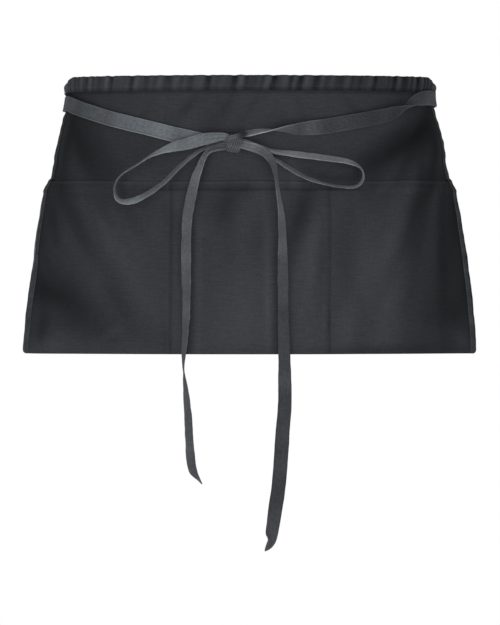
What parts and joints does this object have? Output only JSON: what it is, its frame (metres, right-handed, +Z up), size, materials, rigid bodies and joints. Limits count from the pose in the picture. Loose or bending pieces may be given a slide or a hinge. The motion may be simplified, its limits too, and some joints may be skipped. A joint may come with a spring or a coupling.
{
  "type": "waist apron",
  "caption": "Short waist apron of dark twill with a row of front pockets, a folded waistband and ties brought round the body and knotted in a bow.",
  "frame": {"origin": "centre of the waist opening, half way up the waistband at its middle", "axes": "+X to the right seen from the front, -Y out of the apron's front, +Z up"},
  "size_m": [0.4886, 0.3186, 0.5051],
  "materials": {
    "twill": "matt",
    "pocket_twill": "matt",
    "hem": "matt",
    "band": "matt",
    "tape": "matt"
  },
  "bodies": {
    "root": {"panel": "twill", "pocket": "pocket_twill", "side_hem_left": "hem", "side_hem_right": "hem", "waistband": "band", "tie_left": "tape", "tie_right": "tape", "loop_left": "tape", "loop_right": "tape", "tail_left": "tape", "tail_right": "tape", "knot": "tape"}
  },
  "joints": []
}
